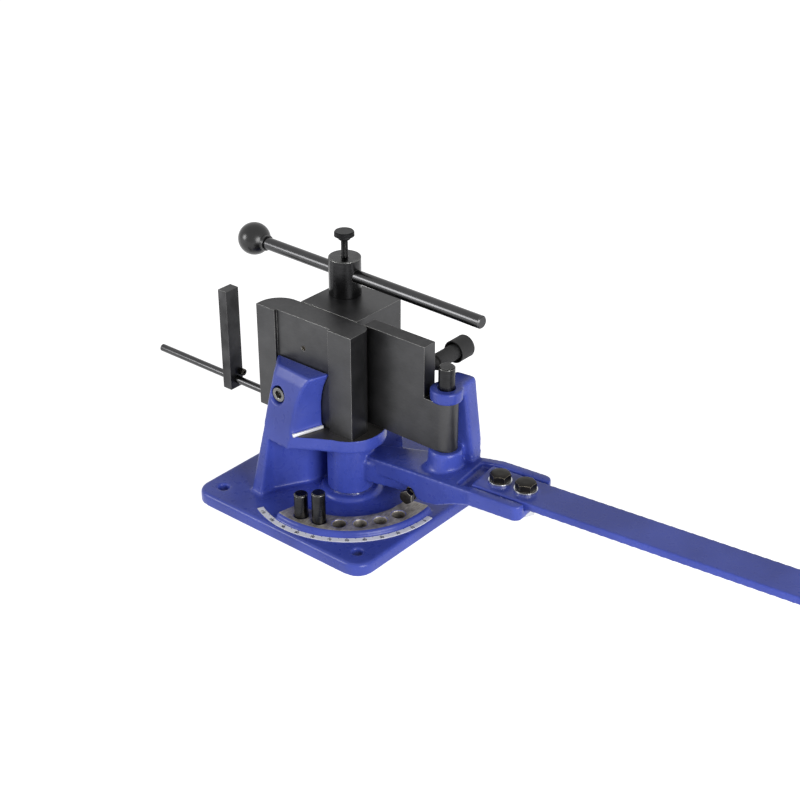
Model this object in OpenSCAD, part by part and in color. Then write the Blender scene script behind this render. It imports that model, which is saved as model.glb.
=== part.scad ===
// Bench bender for flat bar and angles: a cast base with a clamping head, and a
// swing arm with a hinged bending wing and a flat-bar handle.
// Lengths are in millimetres. X runs along the jaws, Y to the back, Z up.
// The origin is on the pivot axis at the underside of the base plate.

/* [Base plate] */
// Width of the base plate, side to side
base_w = 275; // [270:1:290]
// Depth of the base plate, front to back
base_d = 275; // [270:1:290]
// Thickness of the base plate
base_t = 17; // [16:0.5:22]
// Corner radius of the base plate in plan
base_corner_r = 22; // [14:1:26]
// Rounding of the plate's top edge
base_edge_r = 4; // [2:0.5:5]
// Distance of the pivot axis from the plate's left side
pivot_from_left = 148.6; // [147:0.2:152]
// Distance of the pivot axis from the plate's front edge
pivot_from_front = 128.7; // [128:0.1:130]
// Diameter of the four bolt holes
bolt_hole_d = 14; // [10:0.5:16]
// Bolt hole centres from the plate's edges
bolt_inset = 26.5; // [24:0.5:28]

/* [Ring, pad and scale] */
// Radius of the raised ring under the arm's hub
ring_r = 38; // [36:0.5:42]
// Height of the raised ring
ring_h = 5; // [4:0.5:6]
// Chamfer of the ring's rim
ring_chamfer = 3; // [1:0.5:3.5]
// Radius of the thrust washer
washer_r = 27; // [24:0.5:28]
// Thickness of the thrust washer
washer_t = 1.5; // [1:0.1:2]
// Inner radius of the sector pad
pad_in_r = 79; // [77:0.5:82]
// Outer radius of the sector pad
pad_out_r = 115; // [112:0.5:115.5]
// Height of the sector pad
pad_h = 8; // [7:0.5:10]
// Rounding of the pad's outer flank
pad_round = 4; // [2:0.5:5]
// Angle at which the pad starts
pad_first_deg = -101; // [-104:1:-98]
// Angle the pad spans
pad_span_deg = 111; // [108:1:114]
// Radius of the circle the stop pins stand on
stop_ring_r = 96; // [94:0.5:97]
// Number of stop pin holes
stop_count = 6; // [5:1:6]
// Angle of the first stop pin hole
stop_first_deg = -87; // [-88:0.5:-86]
// Angle between stop pin holes
stop_step_deg = 15; // [14:0.5:16]
// Diameter of a stop pin
stop_pin_d = 17; // [14:0.5:18]
// Length of the short stop pin
stop_pin_a_len = 51; // [46:1:53]
// Length of the long stop pin
stop_pin_b_len = 60; // [56:1:62]
// Depth of a stop pin hole below the pad's top
stop_hole_depth = 20; // [16:0.5:20]
// Inner radius of the scale strip
strip_in_r = 116; // [116:0.2:117]
// Width of the scale strip
strip_w = 8; // [6:0.5:8]
// Thickness of the scale strip
strip_t = 0.8; // [0.4:0.1:1.2]
// Angle at which the strip starts
strip_first_deg = -116; // [-118:1:-112]
// Angle the strip spans
strip_span_deg = 120; // [114:1:122]

/* [Shelf and upright] */
// Height of the machined shelf above the plate
shelf_h = 91; // [90:0.5:93]
// Thickness of the shelf
shelf_t = 18; // [16:0.5:18.5]
// Radius of the shelf's front lip
lip_r = 45.5; // [43:0.5:48]
// Left side of the casting from the pivot axis
casting_left = 92; // [91:0.5:94]
// Back of the casting from the pivot axis
casting_back = 92; // [91:0.5:96]
// Height of the upright above the plate
upright_h = 168; // [164:1:172]
// Width of the milled ledge at the upright's foot
ledge_w = 3; // [2:0.5:4]
// Height of the milled ledge
ledge_h = 4; // [3:0.5:5]
// Radius of the hollow in the upright's right side
scoop_r = 100; // [96:1:104]
// Thread diameter of the jaw screw
jaw_screw_d = 12; // [10:1:12]
// Height of the jaw screw above the plate
jaw_screw_h = 132.5; // [130:0.5:136]
// Jaw screw from the pivot axis, to the left
jaw_screw_left = 64; // [62:0.5:66]

/* [Front jaw and clamp block] */
// Length of the front jaw
jaw_len = 152; // [150:1:154]
// Jaw nose from the pivot axis, to the right
jaw_nose = 31; // [30:0.5:32]
// Thickness of the front jaw
jaw_t = 37.8; // [37.6:0.2:38.4]
// Back face of the front jaw behind the pivot axis
jaw_back = 6.8; // [6.6:0.1:6.9]
// Height of the jaws above the shelf
jaw_h = 137; // [134:1:140]
// Corner radius at the jaw's left end
jaw_left_r = 30; // [26:1:31]
// Corner radius at the jaw's nose
jaw_nose_r = 14; // [13:0.5:16]
// Left side of the jaw's front channel from the pivot axis
channel_left = 91; // [90.8:0.1:91.4]
// Right side of the jaw's front channel from the pivot axis
channel_right = 5; // [4.6:0.1:5]
// Depth of the jaw's front channel
channel_t = 4; // [3.5:0.5:5]
// Diameter of the tapped hole in the channel
tap_d = 7; // [5:0.5:8]
// Height of the tapped hole above the plate
tap_h = 189; // [186:1:192]
// Left side of the clamp block from the pivot axis
block_left = 83; // [82:0.5:84]
// Right side of the clamp block from the pivot axis
block_right = 6.5; // [6:0.5:8]
// Front face of the clamp block behind the pivot axis
block_front = 8; // [7.8:0.1:9]
// Back face of the clamp block behind the pivot axis
block_back = 90; // [89:0.5:92]
// Thickness of the clamp block's top wall
block_roof_t = 23; // [20:1:26]

/* [Clamp spindle and lever] */
// Spindle axis from the pivot axis, to the left
spindle_left = 58; // [57:0.5:59]
// Spindle axis behind the pivot axis
spindle_back = 61; // [60:0.5:62]
// Diameter of the spindle's head
head_d = 40.5; // [38:0.5:42]
// Height of the spindle's head
head_h = 48.7; // [46:0.5:50]
// Diameter of the spindle's shaft
shaft_d = 21; // [19:0.5:21]
// Radius of the cam
cam_r = 15; // [14.8:0.1:15.4]
// Offset of the cam's centre from the spindle axis
cam_offset = 4; // [3.5:0.1:4]
// Play between the cam and the block's pocket
cam_play = 0.3; // [0.25:0.05:0.4]
// Diameter of the lever rod
rod_d = 16; // [14:0.5:17]
// Lever rod's height above the jaws
rod_over_jaw = 28; // [27:0.5:30]
// Left end of the lever from the spindle axis to the ball's centre
rod_left_len = 157.7; // [154:0.5:162]
// Right end of the lever from the spindle axis
rod_right_len = 214; // [208:1:220]
// Turn of the lever rod from the X axis at rest
rod_deg = -1.4; // [-2:0.1:0]
// Diameter of the ball
ball_d = 42; // [38:0.5:45]
// Diameter of the ball's collar
ball_collar_d = 20; // [19:0.5:22]
// Length of the ball's collar
ball_collar_t = 5; // [4:0.5:6]
// Shank diameter of the rod's locking screw
lock_d = 8.8; // [8:0.2:10]
// Free length of the locking screw's shank
lock_free = 22; // [20:0.5:24]
// Diameter of the locking screw's knurled head
lock_head_d = 25; // [22:0.5:28]
// Thickness of the locking screw's knurled head
lock_head_t = 7; // [6:0.5:8]
// Diameter of the locking screw's collar
lock_collar_d = 15.4; // [14:0.2:17]
// Thickness of the locking screw's collar
lock_collar_t = 4; // [3:0.5:5]

/* [Stop rod and stop bar] */
// Diameter of the stop rod
stop_rod_d = 10; // [8:0.5:11]
// Left end of the stop rod from the pivot axis
stop_rod_end = 345; // [338:1:352]
// Stop rod's height above the plate
stop_rod_h = 80; // [79.5:0.5:82]
// Stop rod behind the pivot axis
stop_rod_back = 8; // [7:0.5:9]
// Across flats of the stop rod's nut
stop_nut_af = 17; // [16:0.5:18]
// Thickness of the stop rod's nut
stop_nut_t = 6; // [5:0.5:8]
// Left face of the stop bar from the pivot axis
stop_bar_left = 217; // [212:1:222]
// Thickness of the stop bar
stop_bar_t = 14; // [12:0.5:16]
// Width of the stop bar
stop_bar_w = 22; // [20:0.5:24]
// Length of the stop bar
stop_bar_len = 140; // [136:1:144]
// Stop bar's end below the stop rod
stop_bar_drop = 12; // [10:0.5:14]

/* [Swing arm] */
// Turn of the arm from the X axis at rest
arm_rest_deg = 6.05; // [5.8:0.05:6.3]
// Radius of the arm's hub
hub_r = 28.7; // [28:0.1:29.5]
// Diameter of the pivot pin
pivot_d = 25; // [24:0.5:26]
// Wall of the hub's bushes
bush_wall = 3; // [2.5:0.5:4]
// Length of one hub bush
bush_len = 20; // [16:1:24]
// Length of the arm casting from the pivot axis
arm_len = 262; // [258:1:266]
// Half width of the arm at the bar seat
arm_half_w = 41.5; // [40:0.5:43]
// Height of the arm's top at the bar seat
seat_h = 83; // [82:0.5:84]
// Depth of the bar's pocket
pocket_t = 10.5; // [10:0.5:12]
// Half width of the bar's pocket
pocket_half_w = 28.5; // [27.5:0.5:30]
// Radius of the arm's end corners
arm_corner_r = 10; // [8:0.5:12]
// Height of the upper hinge lug's top
lug_top_h = 178; // [176:1:180]
// Thickness of the upper hinge lug
lug_t = 15.5; // [14:0.5:16]
// Radius of the upper hinge lug
lug_r = 19.5; // [18.5:0.5:20.5]
// Radius of the lower hinge lug
lug_low_r = 21; // [20:0.5:22]
// Half width of the necks between the lugs and the post
neck_half_w = 14; // [13:0.5:14.5]
// Front of the post behind the hinge pin
post_front = 17.5; // [17:0.5:18.5]
// Depth of the post
post_t = 26.5; // [24:0.5:28]

/* [Hinge pin and bending wing] */
// Diameter of the hinge pin
hinge_d = 20; // [18:0.5:21]
// Hinge pin from the pivot axis, to the right
hinge_x = 132; // [131:0.2:133]
// Free length of the hinge pin above the upper lug
hinge_free = 28; // [24:1:32]
// Radius of the wing's knuckle
knuckle_r = 14.5; // [14:0.1:15]
// Working face of the wing behind the pivot axis
wing_face = 7.4; // [7.3:0.05:7.6]
// Thickness of the wing
wing_t = 20; // [18:0.5:22]
// Left end of the wing from the pivot axis
wing_left = 18; // [17.5:0.1:18.5]
// Right end of the wing's upper part
wing_right = 110; // [108:0.5:110.5]
// Play between the lugs and the knuckle
lug_play = 0.5; // [0.3:0.1:0.8]
// Wing screw from the pivot axis, to the right
wing_screw_x = 100; // [98:0.5:101]
// Wing screw's distance below the wing's top
wing_screw_drop = 36; // [34:0.5:38]
// Thread diameter of the wing screw
wing_thread_d = 16; // [14:0.5:17]
// Free length of the wing screw's thread
wing_thread_len = 12.6; // [12.4:0.2:16]
// Diameter of the wing screw's sleeve
wing_sleeve_d = 20; // [19:0.5:21]
// Length of the wing screw's sleeve
wing_sleeve_len = 35; // [32:1:38]
// Diameter of the wing screw's knob
wing_knob_d = 32; // [30:0.5:34]
// Length of the wing screw's knob
wing_knob_len = 25; // [22:1:28]

/* [Handle bar and fasteners] */
// Width of the handle bar
bar_w = 50; // [46:1:52]
// Thickness of the handle bar
bar_t = 9.5; // [8:0.5:10]
// Inner end of the handle bar from the pivot axis
bar_start = 189; // [187:0.5:191]
// Outer end of the handle bar from the pivot axis
bar_end = 724; // [700:2:740]
// Thread diameter of the bar bolts
bar_bolt_d = 14; // [12:0.5:14]
// Across flats of the bar bolts
bar_bolt_af = 22; // [20:0.5:23]
// Head height of the bar bolts
bar_bolt_head_t = 8.8; // [7.5:0.1:10]
// First bar bolt from the pivot axis
bar_bolt_first = 213.5; // [212:0.5:215]
// Distance between the bar bolts
bar_bolt_pitch = 34; // [32:0.5:35]
// Outer diameter of the bar bolts' washers
bar_washer_d = 28; // [26:0.5:30]
// Thickness of the bar bolts' washers
bar_washer_t = 2.5; // [2:0.1:3]
// Height of the bar bolts' nuts
bar_nut_t = 11; // [9:0.5:12]
// Thread diameter of the stop bolt
stop_bolt_d = 10; // [8:0.5:10]
// Across flats of the stop bolt and its nut
stop_bolt_af = 16; // [14:0.5:17]
// Head height of the stop bolt
stop_bolt_head_t = 7; // [6:0.5:7]
// Thickness of the stop bolt's lock nut
stop_bolt_nut_t = 6; // [5:0.5:6]
// Stop bolt from the pivot axis
stop_bolt_x = 100; // [99:0.5:101]
// Stop bolt's height above the plate
stop_bolt_h = 33; // [32:0.5:34]
// Striking face of the stop bolt in front of the arm's centre line
stop_bolt_reach = 27.6; // [27:0.2:28]
// Length of the stop bolt's shank
stop_bolt_len = 31; // [29:0.5:32]

/* [Hidden] */
$fn = 72;

blue = "#3F4696";
black = "#3C3C3E";
steel = "#8A8A88";
bright = "#C4C6C8";
bronze = "#A8854A";
paper = "#ECEDEE";

// Overrun of a cut beyond the surface it leaves
cut = 1;
// Radial play of a running fit
run_play = 0.05;
// Radial play of a screw in its hole
screw_play = 0.1;
// Play that keeps parts on different bodies apart
stand_off = 0.3;
// Thickness of the slices a sloped casting wall is drawn from
slice = 0.05;

// Heights above the base plate's top
shelf_low = shelf_h - shelf_t;
jaw_top = shelf_h + jaw_h;
rod_h = jaw_top + rod_over_jaw;
hub_low = ring_h + washer_t;
hub_top = shelf_low - stand_off;
lug_clear = pad_h * 0.8;
lug_low_top = shelf_h + lug_clear;
lug_high_low = lug_top_h - lug_t;
wing_low = lug_low_top + lug_play;
wing_notch = lug_high_low - lug_play;
seat_floor = seat_h - pocket_t;
seat_low_share = 0.759;
seat_low = seat_h * seat_low_share;

// Places in plan
bolt_x = [bolt_inset - pivot_from_left, base_w - bolt_inset - pivot_from_left];
bolt_y = [bolt_inset - pivot_from_front, base_d - bolt_inset - pivot_from_front];
jaw_front = jaw_back - jaw_t;
jaw_left = jaw_nose - jaw_len;
upright_back = jaw_front + channel_t;
hinge_y = wing_face + knuckle_r;
arm_hinge_x = hinge_x * cos(arm_rest_deg) + hinge_y * sin(arm_rest_deg);
arm_hinge_y = hinge_y * cos(arm_rest_deg) - hinge_x * sin(arm_rest_deg);
pivot_foot = base_t * 0.4;

// Cast outlines, as shares of the base plate's width
pedestal_shares = [[-0.2655, -0.2473], [-0.1745, -0.0909], [-0.1382, 0],
    [-0.1382, 0.1091], [-0.0364, 0.16], [0.0364, 0.16]];
shelf_shares = [[-0.1236, -0.2618], [-0.0727, -0.2273], [-0.024, -0.1964],
    [0.0291, -0.1673]];
leg_right_share = -0.2582;
leg_back_share = -0.1455;
leg_top_share = 0.476;
// The upright's raked front face: where it meets the plate, and its slopes
// along the jaws and upwards
front_foot_share = -0.3418;
front_turn_share = -0.1;
front_rake_share = 0.2159;
// The upright's left front edge: its foot and its slope upwards
left_foot_share = -0.3273;
left_rake_share = 0.0952;
body_right_share = -0.0582;
// Height of the bend in the upright's front face and how far the top is set back
upright_bend_share = 0.9226;
setback_share = 0.0236;
// Turn of the upright's right side in plan and its distance from the pivot axis
side_deg = -17.5;
side_share = -0.04;
ledge_front_share = -0.2727;
scoop_h_share = 0.702;

// Arm outlines: along the arm as shares of its length, across as shares of its
// half width, upwards as shares of the seat's height
beam_plan_shares = [[0, -0.05], [0.107, -0.145], [0.748, -1], [1, -1], [1, 1],
    [0.649, 1], [0.076, 0.675], [0, 0.675]];
beam_side_shares = [[0, 0.627], [0.107, 0.681], [0.748, 1], [1, 1],
    [1, seat_low_share], [0.748, seat_low_share], [0.664, 0.657], [0.546, 0.47], [0.469, 0.41], [0.427, 0.41],
    [0.405, 0.53], [0.378, 0.536], [0.149, 0.452], [0, 0.398]];
rib_side_shares = [[0, 0.265], [0.115, 0.265], [0.42, 0.361], [0.42, 0.6], [0, 0.6]];
rib_front_share = -0.229;
rib_back_share = 0.386;
post_foot_shares = [0.405, 0.615];

module on_base() {
    translate([0, 0, base_t])
        children();
}

module in_arm() {
    on_base()
        rotate([0, 0, arm_rest_deg])
            children();
}

module at_spindle() {
    on_base()
        translate([-spindle_left, spindle_back, 0])
            children();
}

// Box from its left front lower corner to its right back upper corner
module span_box(low, high) {
    translate(low)
        cube(high - low);
}

// Upright prism over an outline
module prism(outline, low, high) {
    translate([0, 0, low])
        linear_extrude(high - low)
            polygon(outline);
}

// Prism along Y over an outline drawn in X and Z
module side_prism(outline, front, back) {
    translate([0, back, 0])
        rotate([90, 0, 0])
            linear_extrude(back - front)
                polygon(outline);
}

// Block with upright rounded corners
module round_block(size, r) {
    span_box([r, 0, 0], [size.x - r, size.y, size.z]);
    span_box([0, r, 0], [size.x, size.y - r, size.z]);
    for (x = [r, size.x - r], y = [r, size.y - r])
        translate([x, y, 0])
            cylinder(h = size.z, r = r);
}

module hexagon(across_flats, h) {
    cylinder(h = h, d = across_flats / cos(30), $fn = 6);
}

// Cylinder with a chamfered rim at its upper end
module pin_body(d, len, chamfer) {
    rotate_extrude()
        polygon([[0, 0], [d / 2, 0], [d / 2, len - chamfer], [d / 2 - chamfer, len],
            [0, len]]);
}

// Base casting

module plate_edge(len) {
    rotate([0, 90, 0])
        cylinder(h = len, r = base_edge_r);
}

module plate_body() {
    flat_w = base_w - 2 * base_corner_r;
    flat_d = base_d - 2 * base_corner_r;
    edge_h = base_t - base_edge_r;
    translate([-pivot_from_left, -pivot_from_front, 0]) {
        round_block([base_w, base_d, edge_h], base_corner_r);
        translate([base_edge_r, base_edge_r, 0])
            round_block([base_w - 2 * base_edge_r, base_d - 2 * base_edge_r, base_t],
                base_corner_r - base_edge_r);
        for (y = [base_edge_r, base_d - base_edge_r])
            translate([base_corner_r, y, edge_h])
                plate_edge(flat_w);
        for (x = [base_edge_r, base_w - base_edge_r])
            translate([x, base_corner_r, edge_h])
                rotate([0, 0, 90])
                    plate_edge(flat_d);
        for (x = [base_corner_r, base_w - base_corner_r],
            y = [base_corner_r, base_d - base_corner_r])
            translate([x, y, edge_h])
                rotate_extrude()
                    translate([base_corner_r - base_edge_r, 0])
                        circle(r = base_edge_r);
    }
}

module ring_boss() {
    rotate_extrude()
        polygon([[0, -cut], [ring_r, -cut], [ring_r, ring_h - ring_chamfer],
            [ring_r - ring_chamfer, ring_h], [0, ring_h]]);
}

module sector_pad() {
    flat_r = pad_out_r - pad_round;
    rotate([0, 0, pad_first_deg])
        rotate_extrude(angle = pad_span_deg, $fn = 120) {
            translate([pad_in_r, -cut])
                square([flat_r - pad_in_r, pad_h + cut]);
            translate([pad_in_r, -cut])
                square([pad_out_r - pad_in_r, pad_h - pad_round + cut]);
            translate([flat_r, pad_h - pad_round])
                circle(r = pad_round, $fn = 48);
        }
}

function left_x(h) = left_foot_share * base_w + left_rake_share * h;

function front_y(x, h) = front_foot_share * base_w + front_turn_share * x
    + front_rake_share * h;

// Where the upright's right side crosses its front face, and a line across it
function side_front_x(h) = (side_share * base_w - sin(side_deg) * front_y(0, h))
    / (cos(side_deg) + front_turn_share * sin(side_deg));
function side_x(y) = (side_share * base_w - y * sin(side_deg)) / cos(side_deg);

// Outline of the upright at a height, from its left front corner
function section(h, right, right_back, back, setback = 0) =
    [[left_x(h), front_y(left_x(h), h) + setback], [right, front_y(right, h) + setback],
        [right_back, back], [-channel_left, back]];

module slice_at(outline, h) {
    translate([0, 0, h - slice])
        linear_extrude(slice)
            polygon(outline);
}

module leg() {
    right = leg_right_share * base_w;
    back = leg_back_share * base_w;
    hull() {
        for (h = [0, upright_h * leg_top_share])
            slice_at(section(h, right, right, back), h);
    }
}

// Part of the upright at the shelf's level
module corbel() {
    hull() {
        for (h = [shelf_low + slice, shelf_h])
            slice_at(section(h, side_front_x(h), side_x(upright_back), upright_back), h);
    }
}

module upright_body() {
    right = body_right_share * base_w;
    bend_h = upright_h * upright_bend_share;
    setback = setback_share * base_w + front_rake_share * (bend_h - upright_h);
    hull() {
        for (h = [shelf_h - cut, bend_h])
            slice_at(section(h, right, -channel_right, upright_back), h);
        slice_at(section(upright_h, right, -channel_right, upright_back, setback),
            upright_h);
    }
}

module upright() {
    scoop_h = upright_h * scoop_h_share;
    side = side_share * base_w;
    leg();
    corbel();
    difference() {
        upright_body();
        rotate([0, 0, side_deg]) {
            translate([side + scoop_r, base_w, scoop_h])
                rotate([90, 0, 0])
                    cylinder(h = 2 * base_w, r = scoop_r, $fn = 144);
            span_box([side, -base_w, shelf_h - 2 * cut], [base_w, base_w, scoop_h]);
        }
    }
    rotate([0, 0, side_deg])
        span_box([side - cut, ledge_front_share * base_w, shelf_h - cut],
            [side + ledge_w, upright_back - 2 * ledge_w, shelf_h + ledge_h]);
}

module pedestal() {
    prism(concat(pedestal_shares * base_w,
        [[pedestal_shares[5].x * base_w, casting_back], [-casting_left, casting_back],
            [-casting_left, leg_back_share * base_w * 1.2]]), -cut, shelf_low + cut);
}

module shelf() {
    translate([0, 0, shelf_low])
        cylinder(h = shelf_t, r = lip_r, $fn = 96);
    prism(concat(shelf_shares * base_w, [[pedestal_shares[5].x * base_w,
        pedestal_shares[5].y * base_w], [pedestal_shares[5].x * base_w, casting_back],
        [-casting_left, casting_back], [-casting_left, upright_back]]),
        shelf_low, shelf_h);
}

module at_stops() {
    for (i = [0 : stop_count - 1])
        rotate([0, 0, stop_first_deg + i * stop_step_deg])
            translate([stop_ring_r, 0, 0])
                children();
}

module base_casting() {
    head_d_screw = jaw_screw_d * 1.5;
    color(blue)
        difference() {
            union() {
                plate_body();
                on_base() {
                    ring_boss();
                    sector_pad();
                    pedestal();
                    shelf();
                    upright();
                }
            }
            for (x = bolt_x, y = bolt_y)
                translate([x, y, -cut])
                    cylinder(h = base_t + 2 * cut, d = bolt_hole_d);
            translate([0, 0, pivot_foot])
                cylinder(h = base_t + shelf_h, d = pivot_d + 2 * run_play);
            on_base()
                at_stops()
                    translate([0, 0, pad_h - stop_hole_depth])
                        cylinder(h = stop_hole_depth + cut, d = stop_pin_d + 2 * run_play);
            at_spindle()
                translate([0, 0, journal_low - journal_gap])
                    cylinder(h = shelf_h, d = shaft_d + 2 * run_play);
            on_base()
                translate([-casting_left - cut, stop_rod_back, stop_rod_h])
                    rotate([0, 90, 0])
                        cylinder(h = rod_grip + cut, d = stop_rod_d + 2 * run_play);
            jaw_screw_line() {
                cylinder(h = jaw_screw_reach, d = jaw_screw_d + 2 * screw_play);
                translate([0, 0, -base_w])
                    cylinder(h = base_w, d = head_d_screw + 2 * head_d_play);
            }
        }
}

journal_low = shelf_h * 0.38;
journal_gap = shelf_h * 0.05;
rod_grip = stop_rod_d * 1.5;
head_d_play = jaw_screw_d / 6;
jaw_screw_seat = jaw_screw_d * 1.5;
jaw_screw_reach = jaw_screw_seat + jaw_t * 0.6;

// The jaw screw's line: from its head's seat to the back
module jaw_screw_line() {
    on_base()
        translate([-jaw_screw_left, upright_back - jaw_screw_seat, jaw_screw_h])
            rotate([-90, 0, 0])
                children();
}

module jaw_screw() {
    head_d_screw = jaw_screw_d * 1.5;
    socket_af = jaw_screw_d * 0.83;
    color(steel)
        jaw_screw_line()
            difference() {
                union() {
                    cylinder(h = jaw_screw_reach - cut, d = jaw_screw_d);
                    translate([0, 0, -jaw_screw_d])
                        cylinder(h = jaw_screw_d, d = head_d_screw);
                }
                translate([0, 0, -jaw_screw_d - cut])
                    hexagon(socket_af, jaw_screw_d * 0.5 + cut);
            }
}

module scale_strip() {
    color(paper)
        on_base()
            rotate([0, 0, strip_first_deg])
                rotate_extrude(angle = strip_span_deg, $fn = 120)
                    translate([strip_in_r, 0])
                        square([strip_w, strip_t]);
}

module pivot_pin() {
    pin_gap = cut / 2;
    color(steel)
        translate([0, 0, pivot_foot])
            pin_body(pivot_d, base_t + shelf_h - pin_gap - pivot_foot, pivot_d * 0.06);
}

module ring_at(outer_d, inner_d, low, high) {
    translate([0, 0, low])
        difference() {
            cylinder(h = high - low, d = outer_d);
            translate([0, 0, -cut])
                cylinder(h = high - low + 2 * cut, d = inner_d);
        }
}

module thrust_washer() {
    color(steel)
        on_base()
            ring_at(2 * washer_r, pivot_d + 2 * stand_off, ring_h, ring_h + washer_t);
}

module stop_pin(len, index) {
    color(black)
        on_base()
            rotate([0, 0, stop_first_deg + index * stop_step_deg])
                translate([stop_ring_r, 0, pad_h - stop_hole_depth])
                    pin_body(stop_pin_d, len, stop_pin_d * 0.07);
}

module stop_pin_a() {
    stop_pin(stop_pin_a_len, 0);
}

module stop_pin_b() {
    stop_pin(stop_pin_b_len, 1);
}

// Front jaw and clamp block

// What a rounded upright corner takes off a block; the corner points to +X and +Y
module corner_cut(r, h) {
    difference() {
        span_box([0, 0, -cut], [r + cut, r + cut, h + cut]);
        translate([0, 0, -2 * cut])
            cylinder(h = h + 4 * cut, r = r);
    }
}

module front_jaw() {
    color(black)
        difference() {
            on_base()
                difference() {
                    span_box([jaw_left, jaw_front, shelf_h], [jaw_nose, jaw_back, jaw_top]);
                    translate([jaw_left + jaw_left_r, jaw_back - jaw_left_r, shelf_h])
                        rotate([0, 0, 90])
                            corner_cut(jaw_left_r, jaw_h);
                    translate([jaw_nose - jaw_nose_r, jaw_back - jaw_nose_r, shelf_h])
                        corner_cut(jaw_nose_r, jaw_h);
                    span_box([-channel_left, jaw_front - cut, shelf_h - cut],
                        [-channel_right, upright_back, jaw_top + cut]);
                    translate([-tap_left, upright_back - cut, tap_h])
                        rotate([-90, 0, 0])
                            cylinder(h = tap_depth + cut, d = tap_d);
                }
            jaw_screw_line()
                cylinder(h = jaw_screw_reach, d = jaw_screw_d + 2 * screw_play);
        }
}

tap_left = (channel_left + channel_right) / 2;
tap_depth = jaw_t * 0.4;

// Half widths of the cam's pocket; the cam's offset swings through the middle at
// half its turn
cam_rest_deg = -30;
cam_left = cam_r - cam_offset * cos(cam_rest_deg);
cam_right = cam_r + cam_offset;
cam_front = cam_r - cam_offset * sin(cam_rest_deg);
cam_back = cam_r + cam_offset * sin(cam_rest_deg);

module clamp_block() {
    shaft_room = shaft_d + 4 * stand_off;
    color(black)
        difference() {
            on_base()
                span_box([-block_left, block_front, shelf_h],
                    [block_right, block_back, jaw_top]);
            at_spindle()
                span_box([-cam_left - cam_play, -cam_front - cam_play, shelf_h - cut],
                    [cam_right + cam_play, cam_back + cam_play, jaw_top - block_roof_t]);
            for (y = [0, -cam_offset])
                at_spindle()
                    translate([0, y, shelf_h])
                        cylinder(h = jaw_h + cut, d = shaft_room);
            at_spindle()
                span_box([-shaft_room / 2, -cam_offset, shelf_h],
                    [shaft_room / 2, 0, jaw_top + cut]);
        }
}

// Spindle and lever

module clamp_spindle() {
    head_low = jaw_top + stand_off;
    shoulder_r = (cam_back + shaft_d / 2) / 2;
    color(black)
        at_spindle()
            difference() {
                union() {
                    translate([0, 0, journal_low])
                        cylinder(h = head_low - journal_low + cut, d = shaft_d);
                    translate([0, 0, shelf_h])
                        cylinder(h = shoulder_t, r = shoulder_r);
                    rotate([0, 0, cam_rest_deg])
                        translate([cam_offset, 0, shelf_h + 1.5 * shoulder_t])
                            cylinder(h = cam_len, r = cam_r);
                    translate([0, 0, head_low])
                        pin_body(head_d, head_h, head_chamfer);
                }
                rod_line(-head_d)
                    cylinder(h = 2 * head_d, d = rod_d + 2 * run_play);
                translate([0, 0, rod_h])
                    cylinder(h = head_h, d = lock_d + 2 * screw_play);
            }
}

shoulder_t = shelf_t / 3;
cam_len = (jaw_h - block_roof_t) * 0.8;
head_chamfer = head_d * 0.02;

// The lever rod's line, seen from the spindle axis, from a distance along it
module rod_line(along) {
    translate([0, 0, rod_h])
        rotate([0, 0, rod_deg])
            translate([along, 0, 0])
                rotate([0, 90, 0])
                    children();
}

ball_bore_depth = ball_d * 0.45;
ball_r = ball_d / 2;

module lever_rod() {
    rod_start = ball_r - ball_bore_depth - rod_left_len;
    color(black)
        at_spindle()
            rod_line(rod_start)
                pin_body(rod_d, rod_right_len - rod_start, rod_d * 0.09);
}

module lever_ball() {
    color(black)
        at_spindle()
            rod_line(-rod_left_len)
                difference() {
                    union() {
                        sphere(d = ball_d, $fn = 96);
                        cylinder(h = ball_r + ball_collar_t - ball_seat, d = ball_collar_d);
                    }
                    translate([0, 0, ball_r - ball_bore_depth])
                        cylinder(h = ball_d, d = rod_d);
                }
}

ball_seat = ball_r * 0.1;

module rod_lock_screw() {
    tip = rod_h + rod_d / 2 + stand_off;
    collar_low = jaw_top + stand_off + head_h + lock_free;
    head_low = collar_low + lock_collar_t;
    color(black)
        at_spindle() {
            translate([0, 0, tip])
                cylinder(h = collar_low - tip + cut, d = lock_d);
            translate([0, 0, collar_low])
                cylinder(h = lock_collar_t + cut, d = lock_collar_d);
            translate([0, 0, head_low])
                pin_body(lock_head_d, lock_head_t, lock_head_t * 0.12);
        }
}

// Stop rod and stop bar

module along_stop_rod(x) {
    on_base()
        translate([x, stop_rod_back, stop_rod_h])
            rotate([0, -90, 0])
                children();
}

module stop_rod() {
    inner = -casting_left + rod_grip - cut;
    color(black)
        along_stop_rod(inner)
            pin_body(stop_rod_d, stop_rod_end + inner, stop_rod_d * 0.1);
}

module stop_rod_nut() {
    color(steel)
        along_stop_rod(-casting_left)
            difference() {
                hexagon(stop_nut_af, stop_nut_t);
                translate([0, 0, -cut])
                    cylinder(h = stop_nut_t + 2 * cut, d = stop_rod_d + 2 * run_play);
            }
}

bar_side = stop_bar_w / 2;
stop_screw_d = stop_bar_t * 0.36;
stop_screw_depth = stop_bar_t * 0.7;
stop_screw_up = stop_bar_drop * 0.7;

module stop_screw_line() {
    on_base()
        translate([stop_bar_t - stop_bar_left, stop_rod_back + bar_side * 0.7,
            stop_rod_h + stop_screw_up])
            rotate([0, 90, 0])
                children();
}

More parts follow.
